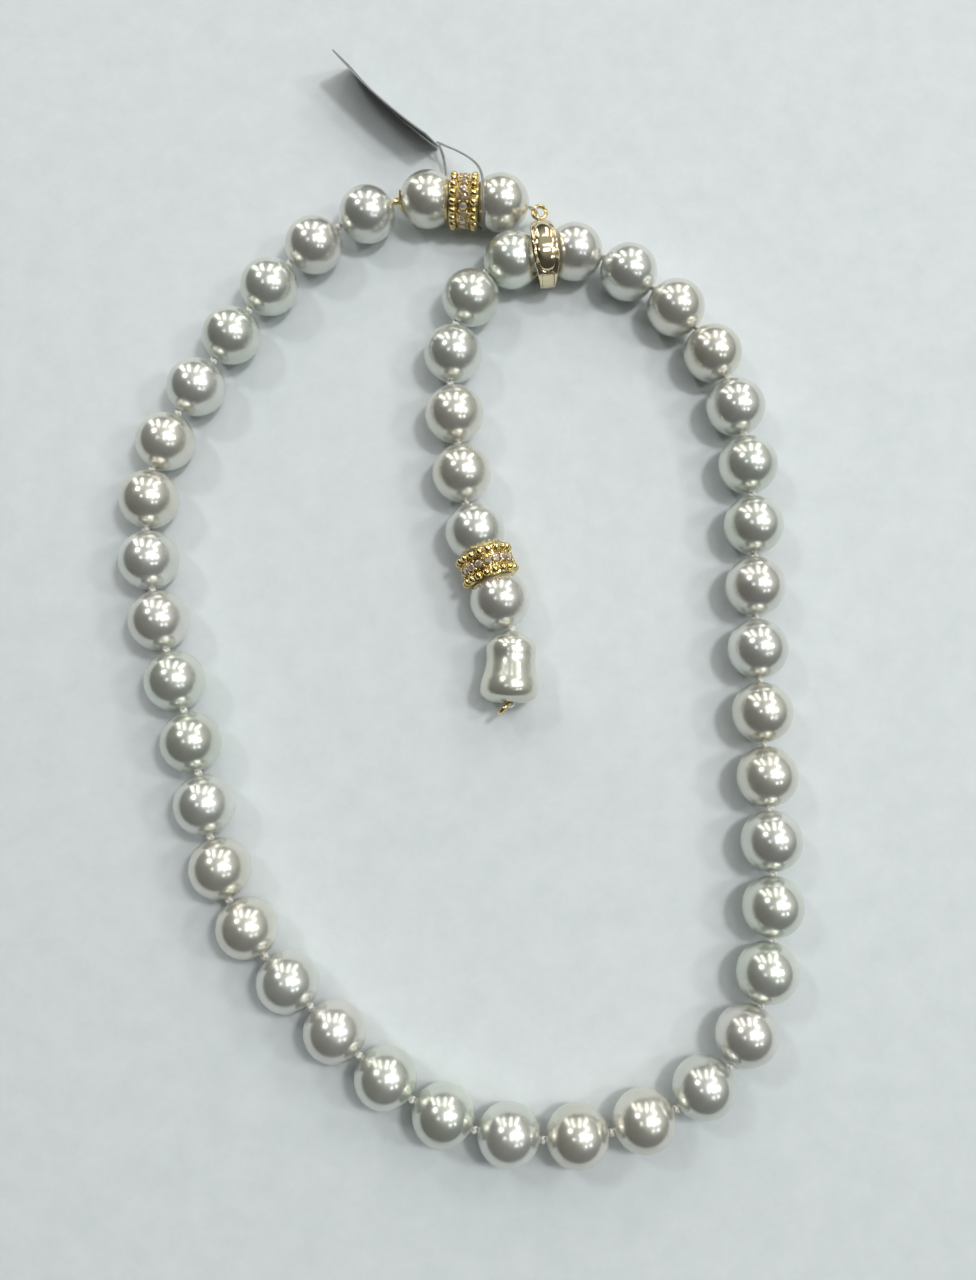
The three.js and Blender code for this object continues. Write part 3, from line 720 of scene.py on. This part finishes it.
def brilliant(radius):
    """A round brilliant with its table towards +Z: table, crown, girdle and pavilion."""
    rings = (
        (0.55 * radius, 0.34 * radius, 0), (0.82 * radius, 0.22 * radius, 0.5), (radius, 0.04 * radius, 0),
        (radius, -0.03 * radius, 0), (0.5 * radius, -0.5 * radius, 0.5),
    )
    sides = 8
    points = []
    for ring_radius, height, shift in rings:
        for k in range(sides):
            angle = 2 * math.pi * (k + shift) / sides
            points.append((ring_radius * math.cos(angle), ring_radius * math.sin(angle), height))
    points.append((0, 0, -0.85 * radius))
    faces = [tuple(range(sides))]
    for i in range(len(rings) - 1):
        shifted = rings[i + 1][2] != rings[i][2]
        ahead = rings[i][2] > 0
        for k in range(sides):
            a, b = i * sides + k, i * sides + (k + 1) % sides
            c, d = (i + 1) * sides + k, (i + 1) * sides + (k + 1) % sides
            if not shifted:
                faces.append((a, c, d, b))
            elif ahead:
                faces += [(a, c, d), (a, d, b)]
            else:
                faces += [(a, c, b), (b, c, d)]
    last = (len(rings) - 1) * sides
    faces += [(last + k, len(points) - 1, last + (k + 1) % sides) for k in range(sides)]
    return points, faces


def make_rondelle(label, first, second):
    a, b = middle(pearl_name(first)), middle(pearl_name(second))
    place = pose((a + b) / 2, b - a)
    body = f"rondelle_{label}"
    frame_shape = rondelle_frame((b - a).length / 2 / MM)
    fit(build(f"{body}_frame", frame_shape, MATERIALS["gold"], place), body, "yellow_gold", body)
    beads, prongs, stones = [], [], []
    for i in range(BEADS_PER_ROW):
        angle = 2 * math.pi * (i + 0.5) / BEADS_PER_ROW
        for row in (-1, 1):
            at, _ = round_place(angle, BEAD_ROW_RADIUS, row * BEAD_ROW_OFFSET)
            beads.append(ball(BEAD_RADIUS, at))
            at, _ = round_place(angle, PRONG_ROW_RADIUS, row * PRONG_OFFSET)
            prongs.append(ball(PRONG_RADIUS, at, rings=6, segments=10))
        at, out = round_place(2 * math.pi * i / BEADS_PER_ROW, STONE_SEAT_RADIUS, 0)
        turned = pose(at, (0, 1, 0), z_hint=out)
        stones.append(moved(brilliant(STONE_RADIUS), turned))
    fit(build(f"{body}_beads", joined(beads), MATERIALS["gold"], place), body, "yellow_gold")
    fit(build(f"{body}_prongs", joined(prongs), MATERIALS["gold"], place), body, "yellow_gold")
    stones_piece = build(f"{body}_brilliants", joined(stones), MATERIALS["stone"], place, sharp_angle=1)
    fit(stones_piece, body, "stones", f"{body}_stones")


# --- bead cap --------------------------------------------------------------------------------------------

def make_cap():
    """A scalloped dish against the pearl, with a coil of fine wire behind it."""
    near, far = PEARL_RADIUS + CUP_GAP, PEARL_RADIUS + CUP_GAP + CAP_THICKNESS
    profile = []
    for sphere, radii in ((near, (0.75, 1.4, 2.0, CAP_RADIUS)), (far, (CAP_RADIUS, 2.0, 1.4, 0.75))):
        profile += [(radius, math.sqrt(sphere ** 2 - radius ** 2)) for radius in radii]
    points, faces = lathe(profile, CAP_SEGMENTS)
    scalloped = []
    for x, along, z in points:
        radius = math.hypot(x, z)
        edge = max(0, (radius - PETALS_FROM) / (CAP_RADIUS - PETALS_FROM))
        gain = 1 - PETAL_DEPTH * edge * abs(math.sin(PETALS / 2 * math.atan2(z, x)))
        scalloped.append((x * gain, along, z * gain))
    coil = []
    steps = 24 * COIL_TURNS
    for k in range(steps + 1):
        angle = 2 * math.pi * k * COIL_TURNS / steps
        along = far + COIL_WIRE + COIL_PITCH * COIL_TURNS * k / steps
        coil.append((COIL_RADIUS * math.cos(angle), along, COIL_RADIUS * math.sin(angle)))
    shape = joined([(scalloped, faces), tube(coil, COIL_WIRE, sides=8)])
    place = pose(middle("pearl_02"), pearl_axis(2))
    fit(build("bead_cap_gold", shape, MATERIALS["gold"], place), "pearl_02", "yellow_gold", "bead_cap")


# --- clasp -----------------------------------------------------------------------------------------------

def clasp_place():
    hinge = JOINTS["lid_hinge"]
    along = -Vector(hinge["axis"]).normalized()
    to_hinge = UP.cross(along).normalized()
    centre = joint_at("lid_hinge") - to_hinge * HINGE_Y * MM
    return Matrix.Translation(centre) @ Matrix((along, to_hinge, UP)).transposed().to_4x4()


def width_at(table, y):
    return float(np.interp(y, [row[0] for row in table], [row[1] for row in table]))


def panel_outline():
    """The dome's outline in plan, as a closed loop of points."""
    ys = np.linspace(PANEL_WIDTHS[0][0], PANEL_WIDTHS[-1][0], 90)
    widths = np.array([width_at(PANEL_WIDTHS, y) for y in ys])
    kernel = np.array([1, 2, 3, 2, 1]) / 9
    widths = np.convolve(np.pad(widths, 2), kernel, "valid")
    right = np.column_stack([widths, ys])
    left = np.column_stack([-widths, ys])[::-1]
    return np.vstack([right, left])


PANEL = panel_outline()


def panel_distance(x, y):
    """Distance from the dome's edge in plan: negative inside it."""
    start, end = PANEL, np.roll(PANEL, -1, axis=0)
    way = end - start
    point = np.array([x, y])
    share = np.clip(((point - start) * way).sum(1) / np.maximum((way ** 2).sum(1), 1e-9), 0, 1)
    near = np.sqrt(((start + way * share[:, None] - point) ** 2).sum(1)).min()
    inside = abs(x) < width_at(PANEL_WIDTHS, y) and PANEL_WIDTHS[0][0] < y < PANEL_WIDTHS[-1][0]
    return -near if inside else near


def edge_fall(x, half_width, start, depth):
    """How far a band's face falls away from a share of its half width outward, up to a depth at its edge."""
    edge = max(0, (abs(x) / half_width - start) / (1 - start))
    return depth * edge ** 2


def lid_rise(x, y, half_width):
    """How far the lid's face stands off its plain oval: the groove, the dome and the softened edges."""
    away = panel_distance(x, y)
    rise = -GROOVE_DEPTH * math.exp(-((away - GROOVE_OFFSET) / GROOVE_WIDTH) ** 2)
    if away < 0:
        share = min(1, -away / DOME_RUN)
        rise += PANEL_RISE * math.sqrt(1 - (1 - share) ** 2)
    return rise - edge_fall(x, half_width, *LID_EDGE)


def oval_point(semi_axes, angle):
    return semi_axes[0] * math.cos(angle), semi_axes[1] * math.sin(angle)


def band(angles, half_width_at, rise_at, across):
    """A loft of closed sections round an oval: the outer face, then the inner one."""
    points = []
    for angle in angles:
        y, z = oval_point(CLASP_OUTER, angle)
        outward = Vector((0, y / CLASP_OUTER[0] ** 2, z / CLASP_OUTER[1] ** 2)).normalized()
        half = half_width_at(angle, y)
        for k in range(across):
            x = half * (2 * k / (across - 1) - 1)
            points.append(Vector((x, y, z)) + outward * rise_at(x, y, half))
        y, z = oval_point(CLASP_INNER, angle)
        for share in INNER_SHARES:
            lift = INNER_LIFT if abs(share) == 1 else 0
            points.append(Vector((half * share, y, z)) + outward * lift)
    columns = across + len(INNER_SHARES)
    faces = grid_faces(len(angles), columns, wrap_columns=True)
    faces.append(tuple(range(columns)))
    faces.append(tuple(reversed(range((len(angles) - 1) * columns, len(angles) * columns))))
    return points, faces


def x_cylinder(radius, start, end, bevel=0.08, y=HINGE_Y, sides=40):
    """A closed cylinder along x with softened ends."""
    rows = [(radius - bevel, start), (radius, start + bevel), (radius, end - bevel), (radius - bevel, end)]
    points = []
    for row_radius, x in rows:
        for k in range(sides):
            angle = 2 * math.pi * k / sides
            points.append((x, y + row_radius * math.cos(angle), row_radius * math.sin(angle)))
    faces = grid_faces(len(rows), sides, wrap_columns=True)
    faces.append(tuple(range(sides)))
    faces.append(tuple(reversed(range((len(rows) - 1) * sides, len(rows) * sides))))
    return points, faces


def block(x_range, y_range, z_range):
    corners = [(x, y, z) for x in x_range for y in y_range for z in z_range]
    return corners, [(0, 1, 3, 2), (4, 6, 7, 5), (0, 4, 5, 1), (2, 3, 7, 6), (0, 2, 6, 4), (1, 5, 7, 3)]


def angle_at_height(height, semi_z):
    return math.asin(height / semi_z)


def make_clasp():
    place = clasp_place()
    gold = MATERIALS["rose"]

    def tool(name, shape):
        return build(name, shape, gold, place)

    split = angle_at_height(SPLIT_HEIGHT, CLASP_OUTER[1])
    half_turn = math.pi - 2 * split
    angles = [split + half_turn * k / LID_STEPS for k in range(LID_STEPS + 1)]
    lid_shape = band(angles, lambda angle, y: width_at(FRONT_WIDTHS, y), lid_rise, LID_ACROSS)
    lid = build("clasp_lid_shell", lid_shape, gold, place)
    notch = block((-NOTCH_HALF_WIDTH, NOTCH_HALF_WIDTH), (-9, -1), (-1, NOTCH_TOP))
    carve(lid, tool("notch", notch), "DIFFERENCE")
    slot_shape = x_cylinder(EYE_SLOT_REACH, -EYE_SLOT_HALF, EYE_SLOT_HALF, bevel=CUT_BEVEL)
    carve(lid, tool("slot", slot_shape), "DIFFERENCE")
    gap = x_cylinder(KNUCKLE_RADIUS + KNUCKLE_GAP, -LUG_INNER, LUG_INNER, bevel=CUT_BEVEL)
    carve(lid, tool("gap", gap), "DIFFERENCE")
    for side in (-1, 1):
        lug = x_cylinder(KNUCKLE_RADIUS, *sorted((side * LUG_INNER, side * LUG_OUTER)))
        carve(lid, tool("lug", lug), "UNION")
    finish_metal(lid)
    fit(lid, "clasp_front", "rose_gold", "clasp_front")

    tongue_top = math.pi - angle_at_height(TONGUE_TOP, CLASP_OUTER[1])
    step = math.pi + split
    angles = [tongue_top + (step - tongue_top) * k / TONGUE_STEPS for k in range(TONGUE_STEPS + 1)]
    angles += [step + STEP_WIDTH + half_turn * k / BACK_STEPS for k in range(BACK_STEPS + 1)]

    def back_half_width(angle, y):
        return TONGUE_HALF_WIDTH if angle <= step else BACK_HALF_WIDTH

    def back_rise(x, y, half_width):
        return -edge_fall(x, half_width, *BACK_EDGE)

    back_shape = band(angles, back_half_width, back_rise, BACK_ACROSS)
    back = build("clasp_back_shell", back_shape, gold, place)
    for side in (-1, 1):
        span = sorted((side * KNUCKLE_HALF, side * CUT_REACH))
        gap = x_cylinder(KNUCKLE_RADIUS + KNUCKLE_GAP, *span, bevel=CUT_BEVEL)
        carve(back, tool("gap", gap), "DIFFERENCE")
    carve(back, tool("knuckle", x_cylinder(KNUCKLE_RADIUS, -KNUCKLE_HALF, KNUCKLE_HALF)), "UNION")
    upright = Matrix.Translation((0, EYE_Y, 0)) @ Matrix.Rotation(math.pi / 2, 4, "Y")
    eye = moved(torus(EYE_RADIUS, EYE_WIRE, around=48, sides=16), upright)
    carve(back, tool("eye", eye), "UNION")
    finish_metal(back)
    fit(back, "clasp_back", "rose_gold", "clasp_back")

    pin = x_cylinder(PIN_RADIUS, -PIN_HALF_LENGTH, PIN_HALF_LENGTH, bevel=0.1)
    fit(build("clasp_pin_wire", pin, gold, place), "clasp_pin", "rose_gold", "clasp_pin")


def finish_metal(piece):
    piece.data.shade_smooth()
    piece.data.set_sharp_from_angle(angle=math.radians(38))


# --- tag -------------------------------------------------------------------------------------------------

def route_shift():
    """What turns the strand route's millimetres into this frame."""
    return joint_at("tag_swing") - Vector((*TAG_CORNER, 0)) * MM


def make_tag():
    """A thin blank card, bowed and leaning, with rounded corners."""
    near, far = Vector(TAG_CORNER), Vector(TAG_FAR_CORNER)
    length = (far - near).length
    columns, rows = 48, 20
    sheets = []
    for side in (-1, 1):
        sheet = []
        for j in range(rows + 1):
            for i in range(columns + 1):
                u, v = length * i / columns, TAG_HEIGHT * j / rows
                u, v = round_corner(u, v, length, TAG_HEIGHT, TAG_CORNER_RADIUS)
                share = u / length
                sheet.append(Vector((u, 4 * TAG_BOW * share * (1 - share) + side * TAG_THICKNESS / 2, v)))
        sheets.append(sheet)
    count = len(sheets[0])
    front = grid_faces(rows + 1, columns + 1)
    faces = [tuple(reversed(face)) for face in front] + [tuple(count + k for k in face) for face in front]
    rim = list(range(columns + 1))
    rim += [j * (columns + 1) + columns for j in range(1, rows + 1)]
    rim += [rows * (columns + 1) + i for i in range(columns - 1, -1, -1)]
    rim += [j * (columns + 1) for j in range(rows - 1, 0, -1)]
    edge_start = len(faces)
    for a, b in zip(rim, rim[1:] + rim[:1]):
        faces.append((a, b, count + b, count + a))
    lean = Matrix.Rotation(-TAG_LEAN, 4, "X")
    points = [lean @ p for p in sheets[0] + sheets[1]]
    lowest = min(p.z for p in points)
    points = [p + Vector((0, 0, TABLE_CLEARANCE - lowest)) for p in points]
    turn = math.atan2(far.y - near.y, far.x - near.x)
    place = Matrix.Translation(joint_at("tag_swing")) @ Matrix.Rotation(turn, 4, "Z")
    tag = build("swing_tag_card", (points, faces), MATERIALS["card"], place)
    tag.data.materials.append(MATERIALS["card_edge"])
    for polygon in tag.data.polygons[edge_start:]:
        polygon.material_index = 1
    fit(tag, "swing_tag", "tag", "swing_tag")


def round_corner(u, v, length, height, radius):
    """Pulls a point near a corner of the card in to a round corner."""
    cu = min(max(u, radius), length - radius)
    cv = min(max(v, radius), height - radius)
    away = Vector((u - cu, v - cv))
    if away.length > radius:
        away = away.normalized() * radius
    return cu + away.x, cv + away.y


def make_strap():
    """A flat loop of thin strip round the strand, from the tag's corner and back."""
    shift = route_shift() / MM
    path = smooth_path([Vector(p) + shift for p in STRAP_ROUTE], per_span=8)
    half_width, half_thick = STRAP_WIDTH / 2, STRAP_THICKNESS / 2
    points = []
    for i, here in enumerate(path):
        tangent = (path[min(i + 1, len(path) - 1)] - path[max(i - 1, 0)]).normalized()
        wide = strap_width_direction(tangent)
        thick = tangent.cross(wide).normalized()
        for across, up in STRAP_SECTION:
            points.append(here + wide * across * half_width + thick * up * half_thick)
    sides = len(STRAP_SECTION)
    faces = grid_faces(len(path), sides, wrap_columns=True)
    faces.append(tuple(range(sides)))
    faces.append(tuple(reversed(range((len(path) - 1) * sides, len(path) * sides))))
    strap = build("tag_strap_strip", (points, faces), MATERIALS["strap"])
    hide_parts("tag_strap")
    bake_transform(strap)


def strap_width_direction(tangent):
    """The strip lies flat on the strand, so its width runs along the strand, square to the strip."""
    return (ALONG_STRAND - tangent * ALONG_STRAND.dot(tangent)).normalized()


# --- stage -----------------------------------------------------------------------------------------------

FLOOR_HALF = 2.5
CAMERA_LENS = 33.47
CAMERA_SENSOR = 36
CAMERA_PLACE = (0.006955, -0.050608, 0.241126)
CAMERA_TILT = 0.15256775
CAMERA_ROLL = 0.0024244
CLIP_START = 0.01


def make_floor():
    low_z = CAD_BOUNDS[0][2]
    mesh = bpy.data.meshes.new("floor")
    corners = [(x * FLOOR_HALF, y * FLOOR_HALF, low_z) for x, y in ((-1, -1), (1, -1), (1, 1), (-1, 1))]
    mesh.from_pydata(corners, [], [(0, 1, 2, 3)])
    look = Look("table_top", Specular_IOR_Level=0.35)
    mottle = look.noise(140, detail=9, roughness=0.75)
    look.colours(mottle, (0.3, (0.63, 0.675, 0.69)), (0.7, (0.70, 0.745, 0.76)))
    look.rough(look.noise(60, detail=4), 0.5, 0.62)
    look.bump(look.noise(500, detail=4), 0.04, 0.0002)
    mesh.materials.append(look.material)
    floor = bpy.data.objects.new("floor", mesh)
    bpy.context.scene.collection.objects.link(floor)


def panel_light(name, direction, size, radiance, colour=(1, 1, 1), distance=1.8):
    """A rectangular light aimed at the necklace. Its size is in radians as the necklace sees it."""
    way = Vector(direction).normalized()
    data = bpy.data.lights.new(name, "AREA")
    data.shape = "RECTANGLE"
    data.size, data.size_y = size[0] * distance, size[1] * distance
    data.energy = radiance * math.pi * data.size * data.size_y
    data.color = colour
    made = bpy.data.objects.new(name, data)
    made.location = way * distance
    made.rotation_euler = way.to_track_quat("Z", "Y").to_euler()
    bpy.context.scene.collection.objects.link(made)


def seen_at(nx, ny):
    """The direction that a ball seen from above mirrors at that share of its radius from its middle."""
    nz = math.sqrt(1 - nx ** 2 - ny ** 2)
    return 2 * nz * nx, 2 * nz * ny, 2 * nz ** 2 - 1


WARM, COOL = (1.0, 0.98, 0.93), (0.86, 0.94, 1.0)

# Where each lamp is mirrored on a ball, and its radiance
LAMPS = ((0.18, 0.08, 58), (0.37, 0.03, 26), (-0.26, 0.22, 26), (0.3, 0.28, 14))

# Where the windows, the bright panels of the ceiling and the cooler panels beyond them are mirrored
WINDOWS = ((-0.36, 0.47), (-0.17, 0.47), (0.06, 0.47), (0.27, 0.47))
CEILING = ((0.08, 0.1), (0.22, 0.14), (0.08, -0.03), (0.24, -0.04))
FAR_PANELS = ((0.22, -0.22), (0.36, -0.2), (-0.14, -0.02))


def make_lights():
    for k, (nx, ny, radiance) in enumerate(LAMPS):
        panel_light(f"lamp_{k}", seen_at(nx, ny), (0.12, 0.12), radiance)
    for k, (nx, ny) in enumerate(WINDOWS):
        panel_light(f"window_{k}", seen_at(nx, ny), (0.13, 0.65), 3.0, WARM)
    for k, (nx, ny) in enumerate(CEILING):
        panel_light(f"ceiling_{k}", seen_at(nx, ny), (0.15, 0.15), 3.5)
    for k, (nx, ny) in enumerate(FAR_PANELS):
        panel_light(f"far_{k}", seen_at(nx, ny), (0.11, 0.11), 5.0, COOL)


# The room's shade as the pearls mirror it, and its patches: a direction, the cosines where the patch is whole
# and where it ends, and its colour
ROOM_SHADE = (0.08, 0.084, 0.074)
ROOM_PATCHES = (
    ((0.45, 0.35, 0.75), 0.98, 0.45, (0.47, 0.48, 0.45)),
    ((-0.72, -0.42, 0.5), 0.93, 0.62, (0.045, 0.043, 0.032)),
    ((0.1, -0.95, 0.12), 0.95, 0.6, (0.06, 0.06, 0.06)),
)
BACKDROP = (0.62, 0.67, 0.68, 1)


def make_world():
    world = bpy.data.worlds.new("room")
    bpy.context.scene.world = world
    world.use_nodes = True
    nodes, links = world.node_tree.nodes, world.node_tree.links
    nodes.clear()
    direction = nodes.new("ShaderNodeTexCoord").outputs["Generated"]

    def patch(toward, near, far):
        """1 round a direction, falling softly to 0: near and far are cosines."""
        dot = nodes.new("ShaderNodeVectorMath")
        dot.operation = "DOT_PRODUCT"
        dot.inputs[1].default_value = Vector(toward).normalized()
        links.new(direction, dot.inputs[0])
        spread = nodes.new("ShaderNodeMapRange")
        spread.interpolation_type = "SMOOTHSTEP"
        spread.inputs["From Min"].default_value = far
        spread.inputs["From Max"].default_value = near
        links.new(dot.outputs["Value"], spread.inputs["Value"])
        return spread.outputs["Result"]

    def mix(factor, a, b):
        node = nodes.new("ShaderNodeMix")
        node.data_type = "RGBA"
        links.new(factor, node.inputs["Factor"])
        for socket, value in (("A", a), ("B", b)):
            target = [s for s in node.inputs if s.name == socket and s.type == "RGBA"][0]
            if isinstance(value, tuple):
                target.default_value = (*value, 1)
            else:
                links.new(value, target)
        return [s for s in node.outputs if s.type == "RGBA"][0]

    colour = ROOM_SHADE
    for toward, near, far, tone in ROOM_PATCHES:
        colour = mix(patch(toward, near, far), colour, tone)
    light = nodes.new("ShaderNodeBackground")
    links.new(colour, light.inputs["Color"])
    backdrop = nodes.new("ShaderNodeBackground")
    backdrop.inputs["Color"].default_value = BACKDROP
    chosen = nodes.new("ShaderNodeMixShader")
    links.new(nodes.new("ShaderNodeLightPath").outputs["Is Camera Ray"], chosen.inputs["Fac"])
    links.new(light.outputs["Background"], chosen.inputs[1])
    links.new(backdrop.outputs["Background"], chosen.inputs[2])
    output = nodes.new("ShaderNodeOutputWorld")
    links.new(chosen.outputs["Shader"], output.inputs["Surface"])


def make_camera():
    data = bpy.data.cameras.new("camera")
    data.sensor_fit = "VERTICAL"
    data.sensor_height = CAMERA_SENSOR
    data.lens = CAMERA_LENS
    data.clip_start = CLIP_START
    camera = bpy.data.objects.new("camera", data)
    camera.location = CAMERA_PLACE
    turned = Matrix.Rotation(CAMERA_ROLL, 4, "Z") @ Matrix.Rotation(CAMERA_TILT, 4, "X")
    camera.rotation_euler = turned.to_euler()
    bpy.context.scene.collection.objects.link(camera)
    bpy.context.scene.camera = camera


make_camera()
make_world()
make_lights()
make_floor()
bpy.context.scene.view_settings.view_transform = "Standard"
make_pearls()
make_baroque()
make_silk()
make_rings()
make_rondelle("top", 1, 2)
make_rondelle("drop", 45, 46)
make_cap()
make_clasp()
make_tag()
make_strap()
